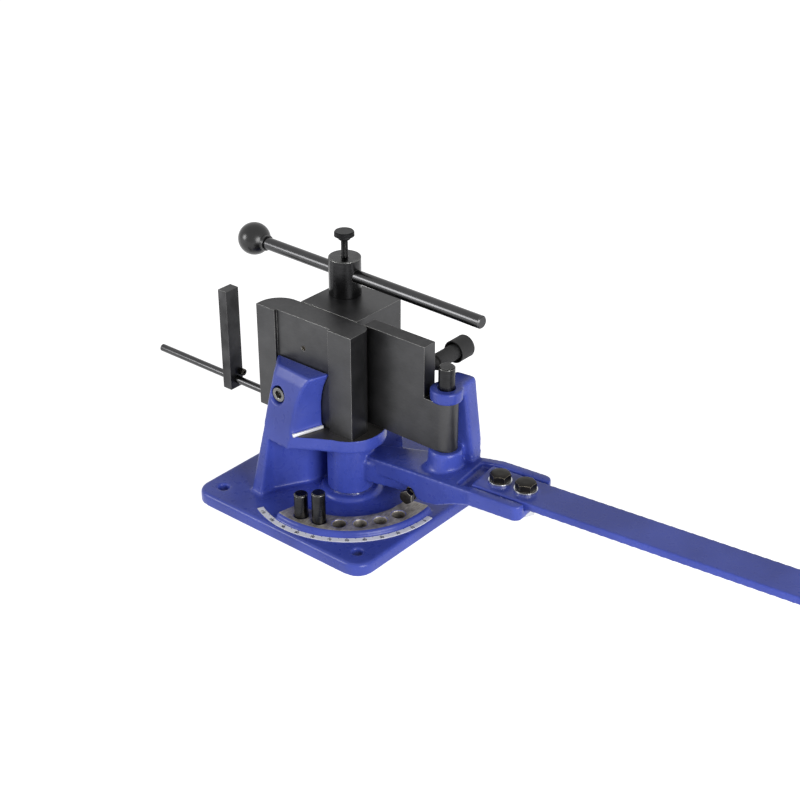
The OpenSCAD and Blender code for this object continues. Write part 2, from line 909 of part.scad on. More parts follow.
module stop_bar() {
    low = stop_rod_h - stop_bar_drop;
    color(black)
        difference() {
            on_base()
                span_box([-stop_bar_left, stop_rod_back - bar_side, low],
                    [stop_bar_t - stop_bar_left, stop_rod_back + bar_side,
                        low + stop_bar_len]);
            along_stop_rod(0)
                cylinder(h = stop_bar_left + cut, d = stop_rod_d + 2 * run_play);
            stop_screw_line()
                translate([0, 0, -stop_screw_depth])
                    cylinder(h = stop_screw_depth + cut, d = stop_screw_d + 2 * screw_play);
        }
}

module stop_bar_screw() {
    head_t = stop_screw_d * 1.2;
    color(black)
        stop_screw_line()
            difference() {
                union() {
                    translate([0, 0, stop_screw_d / 4 - stop_screw_depth])
                        cylinder(h = stop_screw_depth, d = stop_screw_d);
                    cylinder(h = head_t, d = stop_screw_d * 1.8);
                }
                translate([0, 0, head_t / 2])
                    hexagon(stop_screw_d * 0.8, head_t);
            }
}

// Swing arm

function beam_points(shares, across) = [for (p = shares) [p.x * arm_len, p.y * across]];

module beam() {
    intersection() {
        prism(beam_points(beam_plan_shares, arm_half_w), 0, 2 * seat_h);
        side_prism(beam_points(beam_side_shares, seat_h), -2 * arm_half_w, 2 * arm_half_w);
        translate([-arm_half_w, -arm_half_w, 0])
            round_block([arm_len + arm_half_w, 2 * arm_half_w, 2 * seat_h], arm_corner_r);
    }
}

module rib() {
    side_prism(beam_points(rib_side_shares, seat_h), rib_front_share * arm_half_w,
        rib_back_share * arm_half_w);
}

module at_hinge() {
    translate([arm_hinge_x, arm_hinge_y, 0])
        children();
}

module lug(r, low, high) {
    at_hinge() {
        translate([0, 0, low])
            cylinder(h = high - low, r = r);
        span_box([-neck_half_w, 0, low], [neck_half_w, post_front + cut, high]);
    }
}

module post() {
    front = arm_hinge_y + post_front;
    back = front + post_t;
    low = seat_h * 0.6;
    waist = lug_low_top;
    intersection() {
        side_prism([[post_foot_shares[0] * arm_len, low],
            [arm_hinge_x - neck_half_w, waist], [arm_hinge_x - neck_half_w, lug_top_h],
            [arm_hinge_x + neck_half_w, lug_top_h],
            [post_foot_shares[1] * arm_len, seat_h * 0.885],
            [post_foot_shares[1] * arm_len, low]], front, back);
        translate([0, 0, 0])
            rotate([90, 0, 90])
                linear_extrude(arm_len)
                    polygon([[front, low], [front, lug_top_h], [back, lug_top_h],
                        [back, waist], [back - post_t / 2, low]]);
    }
}

module swing_arm() {
    bush_d = pivot_d + 2 * bush_wall;
    color(blue)
        in_arm()
            difference() {
                union() {
                    translate([0, 0, hub_low])
                        cylinder(h = hub_top - hub_low, r = hub_r);
                    beam();
                    rib();
                    post();
                    lug(lug_low_r, seat_h * 0.7, lug_low_top);
                    lug(lug_r, lug_high_low, lug_top_h);
                }
                cylinder(h = shelf_h, d = bush_d + 2 * run_play);
                span_box([arm_len * pocket_start_share, -pocket_half_w, seat_floor],
                    [arm_len + cut, pocket_half_w, seat_h + cut]);
                at_hinge()
                    translate([0, 0, hinge_foot])
                        cylinder(h = lug_top_h, d = hinge_d + 2 * run_play);
                for (i = [0, 1])
                    translate([bar_bolt_first + i * bar_bolt_pitch, 0, 0])
                        cylinder(h = seat_h, d = bar_bolt_d + 2 * bolt_room);
                stop_bolt_line(rib_back_share * arm_half_w + cut)
                    cylinder(h = arm_half_w, d = stop_bolt_d + 2 * screw_play);
            }
}

pocket_start_share = 0.657;
hinge_foot = seat_h * 0.6;
bolt_room = bar_bolt_d * 0.035;

// The stop bolt's line, looking out of the arm, from a place across the arm
module stop_bolt_line(across) {
    translate([stop_bolt_x, across, stop_bolt_h])
        rotate([90, 0, 0])
            children();
}

module hub_bushes() {
    bush_d = pivot_d + 2 * bush_wall;
    color(bronze)
        in_arm() {
            ring_at(bush_d, pivot_d + 2 * run_play, hub_low, hub_low + bush_len);
            ring_at(bush_d, pivot_d + 2 * run_play, hub_top - bush_len, hub_top);
        }
}

module hinge_pin() {
    color(black)
        in_arm()
            at_hinge()
                translate([0, 0, hinge_foot])
                    pin_body(hinge_d, lug_top_h + hinge_free - hinge_foot,
                        hinge_d * 0.08);
}

module at_bar_bolts(h) {
    in_arm()
        for (i = [0, 1])
            translate([bar_bolt_first + i * bar_bolt_pitch, 0, h])
                children();
}

module handle_bar() {
    tip_r = bar_w / 2;
    color(blue)
        difference() {
            in_arm() {
                span_box([bar_start, -tip_r, seat_floor],
                    [bar_end - tip_r, tip_r, seat_floor + bar_t]);
                translate([bar_end - tip_r, 0, seat_floor])
                    cylinder(h = bar_t, r = tip_r);
            }
            at_bar_bolts(0)
                cylinder(h = 2 * seat_h, d = bar_bolt_d + 2 * bolt_room);
        }
}

module bar_washers() {
    top = seat_floor + bar_t;
    color(bright)
        at_bar_bolts(0)
            ring_at(bar_washer_d, bar_bolt_d + 2 * bolt_room, top, top + bar_washer_t);
}

module bar_bolts() {
    top = seat_floor + bar_t + bar_washer_t;
    low = seat_low - bar_nut_t - bar_bolt_d * 0.2;
    color(black) {
        at_bar_bolts(low)
            cylinder(h = top - low + cut, d = bar_bolt_d);
        at_bar_bolts(top)
            hexagon(bar_bolt_af, bar_bolt_head_t);
    }
}

module bar_nuts() {
    color(steel)
        at_bar_bolts(seat_low - bar_nut_t)
            difference() {
                hexagon(bar_bolt_af, bar_nut_t);
                translate([0, 0, -cut])
                    cylinder(h = bar_nut_t + 2 * cut, d = bar_bolt_d + 2 * run_play);
            }
}

module stop_bolt() {
    head_start = stop_bolt_head_t - stop_bolt_reach;
    color(black)
        in_arm() {
            stop_bolt_line(head_start)
                hexagon(stop_bolt_af, stop_bolt_head_t);
            stop_bolt_line(head_start + stop_bolt_len)
                cylinder(h = stop_bolt_len + cut, d = stop_bolt_d);
        }
}

module stop_bolt_nut() {
    color(steel)
        in_arm()
            stop_bolt_line(rib_front_share * arm_half_w)
                difference() {
                    hexagon(stop_bolt_af, stop_bolt_nut_t);
                    translate([0, 0, -cut])
                        cylinder(h = stop_bolt_nut_t + 2 * cut,
                            d = stop_bolt_d + 2 * screw_play);
                }
}

// Bending wing

module wing_screw_line() {
    on_base()
        translate([wing_screw_x, wing_face + wing_t, jaw_top - wing_screw_drop])
            rotate([-90, 0, 0])
                children();
}

wing_thread_depth = wing_t * 0.6;

module bending_wing() {
    color(black)
        difference() {
            on_base() {
                span_box([wing_left, wing_face, wing_low], [wing_right, wing_face + wing_t,
                    jaw_top]);
                span_box([wing_left, wing_face, wing_low], [hinge_x, wing_face + wing_t,
                    wing_notch]);
                translate([hinge_x, hinge_y, wing_low])
                    cylinder(h = wing_notch - wing_low, r = knuckle_r);
            }
            translate([hinge_x, hinge_y, 0])
                cylinder(h = base_t + lug_top_h, d = hinge_d + 2 * run_play);
            wing_screw_line()
                translate([0, 0, -wing_thread_depth])
                    cylinder(h = wing_thread_depth + cut, d = wing_thread_d + 2 * screw_play);
        }
}

module wing_screw() {
    color(steel)
        wing_screw_line() {
            translate([0, 0, cut - wing_thread_depth])
                cylinder(h = wing_thread_depth + wing_thread_len, d = wing_thread_d);
            translate([0, 0, wing_thread_len])
                cylinder(h = wing_sleeve_len + knob_sink, d = wing_sleeve_d);
        }
}

knob_sink = wing_knob_len * 0.6;
knob_recess = wing_knob_len * 0.12;

module wing_knob() {
    low = wing_thread_len + wing_sleeve_len;
    color(black)
        wing_screw_line()
            translate([0, 0, low])
                difference() {
                    pin_body(wing_knob_d, wing_knob_len, wing_knob_d * 0.05);
                    translate([0, 0, -cut])
                        cylinder(h = knob_sink + cut, d = wing_sleeve_d);
                    translate([0, 0, -cut])
                        cylinder(h = knob_recess + cut, d = wing_knob_d * 0.76);
                }
}

base_casting();
scale_strip();
pivot_pin();
thrust_washer();
front_jaw();
jaw_screw();
stop_rod();
stop_rod_nut();
stop_pin_a();
stop_pin_b();
swing_arm();
hub_bushes();
hinge_pin();
handle_bar();
bar_bolts();
bar_washers();
bar_nuts();
stop_bolt();
stop_bolt_nut();
bending_wing();
wing_screw();
wing_knob();
clamp_spindle();
clamp_block();
lever_rod();
lever_ball();
rod_lock_screw();
stop_bar();
stop_bar_screw();
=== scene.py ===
"""Bench bender for angle and flat bar: softened castings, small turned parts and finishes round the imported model."""
import math

import bmesh
import bpy
import numpy as np
from mathutils import Matrix, Vector, noise


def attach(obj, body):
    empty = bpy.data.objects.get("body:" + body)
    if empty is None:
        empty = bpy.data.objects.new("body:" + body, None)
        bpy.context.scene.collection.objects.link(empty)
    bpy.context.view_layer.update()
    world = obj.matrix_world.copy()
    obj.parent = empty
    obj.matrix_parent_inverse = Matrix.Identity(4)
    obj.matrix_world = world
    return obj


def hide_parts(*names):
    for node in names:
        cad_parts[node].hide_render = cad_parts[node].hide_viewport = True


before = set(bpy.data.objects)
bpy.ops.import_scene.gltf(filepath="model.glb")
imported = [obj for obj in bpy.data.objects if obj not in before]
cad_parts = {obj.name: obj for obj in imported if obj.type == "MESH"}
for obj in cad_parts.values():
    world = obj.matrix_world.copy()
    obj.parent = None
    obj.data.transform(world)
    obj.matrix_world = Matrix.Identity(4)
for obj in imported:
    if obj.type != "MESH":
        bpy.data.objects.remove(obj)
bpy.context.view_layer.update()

MM = 0.001

# Colours, as sRGB hex
ENAMEL_BLUE = "#4352AE"
ENAMEL_DEEP = "#37459A"
CAST_IRON = "#C4BEB5"
CAST_IRON_DARK = "#736D65"
# Shelf top: dark grey iron, painted shade under the jaw
SHELF_PAINTED_SHADE = "#4A4846"
# Milled ledge: bare iron painted near white, partly as painted highlight
LEDGE_STEEL_HIGHLIT = "#DADBDE"
LEDGE_PALE_HIGHLIT = "#F2F2F4"
OXIDE_BLACK = "#424243"
OXIDE_GREY = "#525253"
OXIDE_DARK = "#232324"
# Pale edge tone of black oxide: edge wear and painted highlight at once
OXIDE_WORN_AND_HIGHLIT = "#B4B3B0"
OXIDE_DEEP = "#1B1B1C"
# Pale chamfer rim of turned parts: edge wear and painted highlight at once
TURNED_RIM_WORN_AND_HIGHLIT = "#D0D0CC"
ROD_BLACK = "#4B4B4C"
PHOSPHATE_BROWN = "#37332D"
# Pale corners of phosphated bolts: edge wear and painted highlight at once
PHOSPHATE_WORN_AND_HIGHLIT = "#C4BBA8"
# Near-white corners and crests of the stop bolt: edge wear and painted highlight at once
STEEL_WORN_AND_HIGHLIT = "#EDE6D4"
THREAD_DARK = "#57534B"
THREAD_PALE = "#7A756A"
SCREW_DARK = "#5A5A58"
SCREW_GREY = "#8B8A86"
# Pale edge tone of the socket screw: edge wear and painted highlight at once
SCREW_WORN_AND_HIGHLIT = "#C9C8C2"
BALL_BLACK = "#0E0E0F"
BALL_SHEEN = "#131314"
PLASTIC_BLACK = "#0D0D0E"
PLASTIC_GREY = "#0F0F10"
# Pale edge tone of the nylon parts: edge wear and painted highlight at once
PLASTIC_WORN_AND_HIGHLIT = "#3A3A3C"
ZINC = "#DDDEE0"
ZINC_DULL = "#B4B6B9"
# Pale edge tone of zinc plate and the milled ledge: edge wear and painted highlight at once
ZINC_WORN_AND_HIGHLIT = "#F0F0F0"
GROUND_STEEL = "#A9A8A6"
OILED_BRONZE = "#9C7A45"
BRONZE_PALE = "#C8A468"
STRIP_SILVER = "#E4E5EA"
STRIP_PALE = "#EFF0F3"
PRINT_INK = "#121216"
PRINT_WORN = "#202026"
FLOOR_PALE = "#F4F4F5"
LAMP_WHITE = "#FFFFFF"

# Where the machined faces lie, in metres above the table and from the pivot
PAD_TOP = 25 * MM
PAD_INNER = 79 * MM
PAD_OUTER = 111 * MM
STOP_HOLES = (86 * MM, 106 * MM)
SHELF_TOP = 108 * MM
LEDGE_TOP = 112 * MM
STRIP_TOP = 17.8 * MM
STRIP_INNER = 116 * MM
STRIP_OUTER = 124 * MM
HOLES_LEFT = -8 * MM
HOLES_BACK = 5 * MM
HOLES_FLOOR = 2 * MM

# Limits of the bare zones: how far a face may lie off its height, which way it looks, and no limit at all
ZONE_BAND = 0.6 * MM
LOOKS_UP = (0.9, 1.1)
LOOKS_ASIDE = (-0.6, 0.6)
FAR = 1.0

# Zones that keep their machined edges when the castings are eased
CRISP_PAD = (80 * MM, 110.5 * MM)
CRISP_PAD_HEIGHTS = (18.5 * MM, 26 * MM)
CRISP_PAD_BACK = 20 * MM
CRISP_PAD_LEFT = -30 * MM
CRISP_BAND = 0.8 * MM
BOSS_REACH = 42 * MM
BORE_REACH = 30 * MM
HUB_BORE_REACH = 17 * MM
HUB_REACH = 32 * MM
HUB_FOOT = 27 * MM
HINGE_BORE_REACH = 12.5 * MM
POST_FOOT = 100 * MM
POST_REACH = 20 * MM

# How the arm stands at rest, and the wing's hinge
ARM = Matrix.Rotation(math.radians(6.05), 4, "Z")
HINGE = Vector((132 * MM, 21.9 * MM, 0))

# Sizes of patterns in the finishes
ROLL_SIZE = 7 * MM
PAINT_DEPTH_SIZE = 70 * MM
STAIN_SIZE = 13 * MM
CUTTER_MARK = 0.8 * MM
CLOUD_SIZE = 26 * MM

# How far a worked metal's roughness strays, as shares of its own value
ROUGHNESS_SHARES = (0.93, 1.07)

# The skins' faces, in mm across, and the share of the way that a point goes in one easing
BASE_GRAIN = 1.3
ARM_GRAIN = 1.1
BAR_GRAIN = 1.3
EASING = 0.5

# How often a skin is eased: machined faces, the rolled bar, the base, the arm and its post
CRISP_PASSES = 3
BAR_PASSES = 4
BASE_PASSES = 12
ARM_PASSES = 14
POST_PASSES = 45

# The wave that the sand mould leaves in a casting's skin
MOULD_WAVE = 18 * MM
MOULD_DEPTH = 0.14 * MM

# From this angle on, an edge of a small part is drawn sharp
SHARP_EDGE = math.radians(32)

# A bolt head's chamfer: its slope, and where it starts, as a share of half the width across flats
HEX_SLOPE = math.radians(30)
HEX_LAND = 0.94

# Small parts, in mm: places, sizes, turned profiles as (along, radius), and knurls as (teeth, pitch, depth)
THREAD_RUN_OUT = 0.3

BAR_BOLTS_ALONG = (213.5, 247.5)
BAR_BOLT_FLATS = 22
BAR_BOLT_HEAD = 8.8
BAR_BOLT_TOP = [(0, 20), (BAR_BOLT_HEAD, 20), (BAR_BOLT_HEAD, 10.3), (BAR_BOLT_HEAD, 4.0)]
BAR_BOLT_SEAT = 101.5
BAR_BOLT_END = 66.2
BAR_BOLT_RADIUS = 7
BAR_BOLT_CHAMFER = 1.0
BAR_BOLT_PLAIN = 1.4

STOP_BOLT_ALONG = 100
STOP_BOLT_HEIGHT = 50
STOP_BOLT_FLATS = 16
STOP_BOLT_HEAD = 7
STOP_BOLT_TOP = [(0, 20), (STOP_BOLT_HEAD, 20), (STOP_BOLT_HEAD, 7.4), (STOP_BOLT_HEAD, 3.0)]
STOP_BOLT_FACE = -20.6
STOP_BOLT_END = 10.4
STOP_BOLT_LENGTH = 31.3
STOP_BOLT_RADIUS = 5.0
STOP_BOLT_PITCH = 1.5
STOP_BOLT_THREAD = 0.8

SPINDLE_PLACE = (-58, 61)
LOCK_SHANK_RADIUS = 4.4
LOCK_SHANK = (281.4, 315.9)
LOCK_PITCH = 1.25
LOCK_THREAD = 0.6
LOCK_THREADED = (282.0, 314.5)
LOCK_COLLAR = [(315.6, 5.6), (316.4, 7.0), (317.2, 7.7), (320.2, 7.7), (320.2, 5.0)]
LOCK_HEAD_FOOT = [(320.0, 10.2), (320.9, 11.9), (321.1, 12.5)]
LOCK_RIM = (321.3, 325.6)
LOCK_RIM_RADIUS = 12.5
LOCK_KNURL = (48, 2.2, 0.45)
LOCK_KNURLED = (321.2, 325.7)
LOCK_HEAD_TOP = [(326.0, 12.2), (327.0, 11.3), (327.0, 4.0)]

WING_SCREW_PLACE = (100, 209)
WING_SCREW_START = 16.5
WING_SHANK_RADIUS = 8.0
WING_SHANK_LENGTH = 23.8
WING_PITCH = 2.0
WING_THREAD = 1.0
WING_THREADED = (0.5, 23.5)
SLEEVE_FOOT = [(40.0, 8.4), (40.8, 9.8)]
SLEEVE = (41.2, 78.0)
SLEEVE_RADIUS = 10.0
SLEEVE_KNURL = (28, 2.6, 0.8)
SLEEVE_KNURLED = (41.0, 90.0)
KNOB_FRONT = [(83.0, 4.0), (83.0, 11.4), (75.8, 12.6), (75.2, 13.2), (75.6, 14.0)]
KNOB_RIM = (76.2, 98.2)
KNOB_RADIUS = 14.2
KNOB_KNURL = (50, 2.0, 0.35)
KNOB_KNURLED = (76.6, 98.0)
KNOB_BACK = [(98.8, 13.9), (99.6, 13.0), (99.8, 11.5), (99.4, 10.8), (99.4, 4.0)]

SET_SCREW_PLACE = (-48, -23.7, 206)
SET_SCREW = [(0, 2.6), (0, 3.3), (2.8, 3.3), (3.2, 2.9), (3.2, 1.7), (1.2, 1.6), (1.2, 0.4)]

# The milled ledge: its turn in degrees, its middle, size and bevel
LEDGE_TURN = -17.5
LEDGE_PLACE = (-9.1 * MM, -54 * MM, 109.9 * MM)
LEDGE_SIZE = (5.0 * MM, 42.2 * MM, 4.4 * MM)
LEDGE_BEVEL = 0.8 * MM

# The fillet at the foot of the arm's lower lug, in mm, as (height, radius)
LUG_FILLET = [(76, 26), (88, 26), (91, 23.6), (94, 22.0), (98, 21.2), (103, 20.6)]

# The degree strip: where its last number stands, the steps, and the printed marks
LAST_NUMBER = 110
LAST_NUMBER_AT = -111
NUMBER_STEP = 10
MARK_STEP = 5
MARK_START = STRIP_INNER + 0.7 * MM
LONG_MARK = 2.4 * MM
SHORT_MARK = 1.4 * MM
MARK_HALF_WIDTH = 0.4 * MM
INK_THICKNESS = 0.05 * MM
NUMBER_HEIGHT = 5.2 * MM
NUMBER_WEIGHT = 0.2 * MM
NUMBER_MIDDLE = STRIP_OUTER - 2.9 * MM
SAME_POINT = 0.001 * MM

# Studio: the glow of floor and sky, lamps as (name, place, width, watts), and the camera
FLOOR_HALF = 9
FLOOR_DROP = 0.0003
FLOOR_GLOW = 0.85
SKY_LIGHT = 0.19
LAMPS = (("key_lamp", (-1.45, -1.85, 0.85), 1.0, 25.0),
         ("right_lamp", (2.1, -0.7, 0.7), 1.4, 46.0))
LAMP_AIM = Vector((0.1, 0, 0.15))
CAMERA_LENS = 69.43
CAMERA_SENSOR = 36
CAMERA_PLACE = (1.0932, -1.2204, 1.0492)
CAMERA_AIM = Vector((-0.5586, 0.6728, -0.4852))


def linear(hex_colour):
    """An sRGB hex colour as the linear RGBA that a shader takes."""
    parts = [int(hex_colour[i:i + 2], 16) / 255 for i in (1, 3, 5)]
    return [p / 12.92 if p <= 0.04045 else ((p + 0.055) / 1.055) ** 2.4 for p in parts] + [1.0]


def add(tree, kind, inputs=None, out=0, **settings):
    """One shader node with its settings. An input takes a number, a hex colour or another node's output."""
    made = tree.nodes.new("ShaderNode" + kind)
    for name, value in settings.items():
        setattr(made, name, value)
    for name, value in (inputs or {}).items():
        if isinstance(value, bpy.types.NodeSocket):
            tree.links.new(value, made.inputs[name])
        else:
            made.inputs[name].default_value = linear(value) if isinstance(value, str) else value
    return made.outputs[out] if made.outputs else made


def finish_named(name):
    """An empty finish: its material, its nodes, its shader's sockets, and where a point lies, in metres."""
    made = bpy.data.materials.new(name)
    made.use_nodes = True
    tree = made.node_tree
    tree.nodes.clear()
    shader = add(tree, "BsdfPrincipled").node.inputs
    add(tree, "OutputMaterial", {"Surface": shader[0].node.outputs[0]})
    return made, tree, shader, add(tree, "TexCoord", out="Object")


def stoving_enamel(name, machined):
    """Stoving enamel sprayed on a shaken-out iron casting. To the eye it is a deep even blue with a soft gloss that
    varies a little. Where the casting was machined, the bare grey iron shows, stained, with the cutter's marks, and
    the shelf top is painted a darker grey as painted shade under the jaw."""
    made, tree, shader, place = finish_named(name)
    roll = add(tree, "TexNoise", {"Vector": place, "Scale": 1 / ROLL_SIZE, "Detail": 0.0})
    depth = add(tree, "TexNoise", {"Vector": place, "Scale": 1 / PAINT_DEPTH_SIZE, "Detail": 3.0})
    paint = add(tree, "Mix", {0: add(tree, "MapRange", {"Value": depth, "From Min": 0.35, "From Max": 0.65}),
                              6: ENAMEL_BLUE, 7: ENAMEL_DEEP}, out=2, data_type="RGBA")
    gloss = add(tree, "MapRange", {"Value": roll, "From Min": 0.3, "From Max": 0.7,
                                   "To Min": 0.27, "To Max": 0.33})
    shader["Specular IOR Level"].default_value = 0.32
    if not machined:
        tree.links.new(paint, shader["Base Color"])
        tree.links.new(gloss, shader["Roughness"])
        return made
    spot = add(tree, "SeparateXYZ", {"Vector": place}).node.outputs
    facing = add(tree, "SeparateXYZ", {"Vector": add(tree, "NewGeometry", out="Normal")}, out="Z")
    reach = add(tree, "VectorMath", {0: add(tree, "CombineXYZ", {"X": spot["X"], "Y": spot["Y"]})},
                out="Value", operation="LENGTH")
    zones = {
        "pad": ((facing, *LOOKS_UP), (spot["Z"], PAD_TOP - ZONE_BAND, PAD_TOP + ZONE_BAND),
                (reach, PAD_INNER - MM, PAD_OUTER)),
        "holes": ((facing, *LOOKS_ASIDE), (spot["Z"], HOLES_FLOOR, PAD_TOP + 0.4 * MM), (reach, *STOP_HOLES),
                  (spot["X"], HOLES_LEFT, FAR), (spot["Y"], -FAR, HOLES_BACK)),
        "shelf": ((facing, *LOOKS_UP), (spot["Z"], SHELF_TOP - ZONE_BAND, SHELF_TOP + ZONE_BAND)),
    }
    shown = {}
    for zone, limits in zones.items():
        inside = None
        for value, low, high in limits:
            above = add(tree, "Math", {0: value, 1: low}, operation="GREATER_THAN")
            below = add(tree, "Math", {0: value, 1: high}, operation="LESS_THAN")
            both = add(tree, "Math", {0: above, 1: below}, operation="MULTIPLY")
            inside = both if inside is None else add(tree, "Math", {0: inside, 1: both}, operation="MULTIPLY")
        shown[zone] = inside
    stains = add(tree, "TexNoise", {"Vector": place, "Scale": 1 / STAIN_SIZE, "Detail": 5.0})
    cuts = add(tree, "TexNoise", {"Vector": add(tree, "VectorMath", {0: place, 1: (1.0, 0.12, 1.0)},
                                                operation="MULTIPLY"), "Scale": 1 / CUTTER_MARK, "Detail": 1.0})
    marks = add(tree, "Math", {0: stains, 1: cuts}, operation="MULTIPLY")
    grey = add(tree, "MapRange", {"Value": marks, "From Min": 0.12, "From Max": 0.42})
    pads = add(tree, "Math", {0: shown["pad"], 1: shown["holes"]}, operation="MAXIMUM")
    iron = add(tree, "Mix", {0: grey, 6: CAST_IRON_DARK, 7: CAST_IRON}, out=2, data_type="RGBA")
    # Painted shade: the shelf top is painted dark grey for the shade under the jaw
    iron = add(tree, "Mix", {0: shown["shelf"], 6: iron, 7: SHELF_PAINTED_SHADE}, out=2, data_type="RGBA")
    bare = add(tree, "Math", {0: pads, 1: shown["shelf"]}, operation="MAXIMUM")
    tree.links.new(add(tree, "Mix", {0: bare, 6: paint, 7: iron}, out=2, data_type="RGBA"), shader["Base Color"])
    dull = add(tree, "MapRange", {"Value": stains, "From Min": 0.3, "From Max": 0.7,
                                  "To Min": 0.36, "To Max": 0.5})
    tree.links.new(add(tree, "Mix", {0: bare, 2: gloss, 3: dull}), shader["Roughness"])
    tree.links.new(add(tree, "Math", {0: bare, 1: 0.6}, operation="MULTIPLY"), shader["Metallic"])
    return made


def worked_metal(name, dark, pale, roughness, lines=(1.0, 1.0, 1.0), grain=0.5, edge=0.6, edge_share_worn_and_lit=0.6,
                 metallic=1.0, contrast=0.5, depth=0.02, edge_tone_worn_and_lit=OXIDE_WORN_AND_HIGHLIT):
    """A metal as its tool and its bath left it: cloudy between two tones, with fine lines along the way that it was
    ground, drawn or turned, and paler along its edges, which is edge wear and painted highlight at once. Sizes are in
    millimetres."""
    made, tree, shader, place = finish_named(name)
    soft = add(tree, "Bevel", {"Radius": edge * MM}, samples=6)
    turned = add(tree, "VectorMath", {0: soft, 1: add(tree, "NewGeometry", out="Normal")},
                 out="Value", operation="DOT_PRODUCT")
    rounding = add(tree, "MapRange", {"Value": turned, "From Min": 1.0, "From Max": 0.8})
    drawn = add(tree, "VectorMath", {0: place, 1: lines}, operation="MULTIPLY")
    fine = add(tree, "TexNoise", {"Vector": drawn, "Scale": 1 / (grain * MM), "Detail": 2.0})
    clouds = add(tree, "TexNoise", {"Vector": place, "Scale": 1 / CLOUD_SIZE, "Detail": 3.0})
    tone = add(tree, "Math", {0: add(tree, "Math", {0: fine, 1: contrast}, operation="MULTIPLY"),
                              1: add(tree, "Math", {0: clouds, 1: 1 - contrast}, operation="MULTIPLY")},
               operation="ADD")
    colour = add(tree, "Mix", {0: add(tree, "MapRange", {"Value": tone, "From Min": 0.28, "From Max": 0.72}),
                               6: dark, 7: pale}, out=2, data_type="RGBA")
    patchy = add(tree, "MapRange", {"Value": clouds, "From Min": 0.3, "From Max": 0.6,
                                    "To Min": edge_share_worn_and_lit * 0.4, "To Max": edge_share_worn_and_lit})
    # Pale edges: where the bevel rounds an edge, in patches, the colour goes to a pale edge tone that is edge wear and
    # painted highlight at once
    edge_mask_worn_and_lit = add(tree, "Math", {0: rounding, 1: patchy}, operation="MULTIPLY")
    tree.links.new(add(tree, "Mix", {0: edge_mask_worn_and_lit, 6: colour, 7: edge_tone_worn_and_lit}, out=2, data_type="RGBA"), shader["Base Color"])
    tree.links.new(add(tree, "MapRange", {"Value": clouds, "From Min": 0.3, "From Max": 0.7,
                                          "To Min": roughness * ROUGHNESS_SHARES[0],
                                          "To Max": roughness * ROUGHNESS_SHARES[1]}),
                   shader["Roughness"])
    shader["Metallic"].default_value = metallic
    tree.links.new(add(tree, "Bump", {"Height": fine, "Normal": soft, "Strength": 0.3, "Distance": depth * MM}),
                   shader["Normal"])
    return made


enamel_machined = stoving_enamel("stoving enamel on machined cast iron", True)
enamel = stoving_enamel("stoving enamel", False)
# Surface-ground tool steel, hot black oxide: satin charcoal, with pale hairlines along its edges that are wear and
# painted highlight at once
oxide_ground = worked_metal("black oxide on ground tool steel", OXIDE_BLACK, OXIDE_GREY, 0.40,
                            lines=(0.1, 0.1, 1.0), contrast=0.35, edge_share_worn_and_lit=0.8)
# Turned steel in the same bath: darker and smoother, faint rings, a pale rim on each chamfer that is wear and painted
# highlight at once
oxide_turned = worked_metal("black oxide on turned steel", OXIDE_DARK, OXIDE_BLACK, 0.27,
                            lines=(0.05, 0.05, 1.0), edge=1.2, edge_share_worn_and_lit=1.0, contrast=0.4, edge_tone_worn_and_lit=TURNED_RIM_WORN_AND_HIGHLIT)
# Bright-drawn bar blackened and oiled: smooth, so that a lamp draws one bright line along it
drawn_bar = worked_metal("blackened bright-drawn bar", OXIDE_BLACK, ROD_BLACK, 0.23, lines=(0.03, 1.0, 1.0),
                         edge=0.8, contrast=0.3, depth=0.005)
# Screw steel in the same bath: even and dark down in the thread
oxide_screw = worked_metal("black oxide on screw steel", OXIDE_DEEP, OXIDE_DARK, 0.36, edge_share_worn_and_lit=0.1)
# Rolled flat steel, blackened: plain dark grey with a faint scale
rolled_flat = worked_metal("blackened rolled flat", OXIDE_DARK, OXIDE_GREY, 0.42, lines=(1.0, 1.0, 0.08),
                           contrast=0.3)
# Forged bolts, phosphated and oiled: almost black, brownish and dull, with pale corners that are wear and painted
# highlight at once
phosphate = worked_metal("phosphated forged bolt", PHOSPHATE_BROWN, OXIDE_DARK, 0.40, edge=0.5, edge_share_worn_and_lit=1.0,
                         edge_tone_worn_and_lit=PHOSPHATE_WORN_AND_HIGHLIT, depth=0.04)
# The stop bolt from the same bath, with its corners painted near white, as wear from the stop pins and as painted
# highlight
bolt_worn_and_highlit = worked_metal("phosphated bolt with worn and highlit corners", PHOSPHATE_BROWN, OXIDE_BLACK, 0.36, edge=0.9, edge_share_worn_and_lit=1.0,
                           edge_tone_worn_and_lit=STEEL_WORN_AND_HIGHLIT, depth=0.04)
# Its rolled thread, where the nut took the bath off: oily mid grey, with pale crests that are wear and painted
# highlight at once
thread_worn_and_highlit = worked_metal("oiled thread with worn and highlit crests", THREAD_DARK, THREAD_PALE, 0.38, edge=0.2, edge_share_worn_and_lit=1.0,
                             edge_tone_worn_and_lit=STEEL_WORN_AND_HIGHLIT, depth=0.004)
# Zinc plate on stamped washers and nuts: pale, bright, with a soft bloom, and paler edges that are wear and painted
# highlight at once
zinc_plate = worked_metal("zinc plate", ZINC_DULL, ZINC, 0.28, edge_share_worn_and_lit=0.3, edge_tone_worn_and_lit=ZINC_WORN_AND_HIGHLIT)
# Ground steel left bright and oiled
ground_steel = worked_metal("bright ground steel", GROUND_STEEL, ZINC, 0.24, lines=(1.0, 1.0, 0.05))
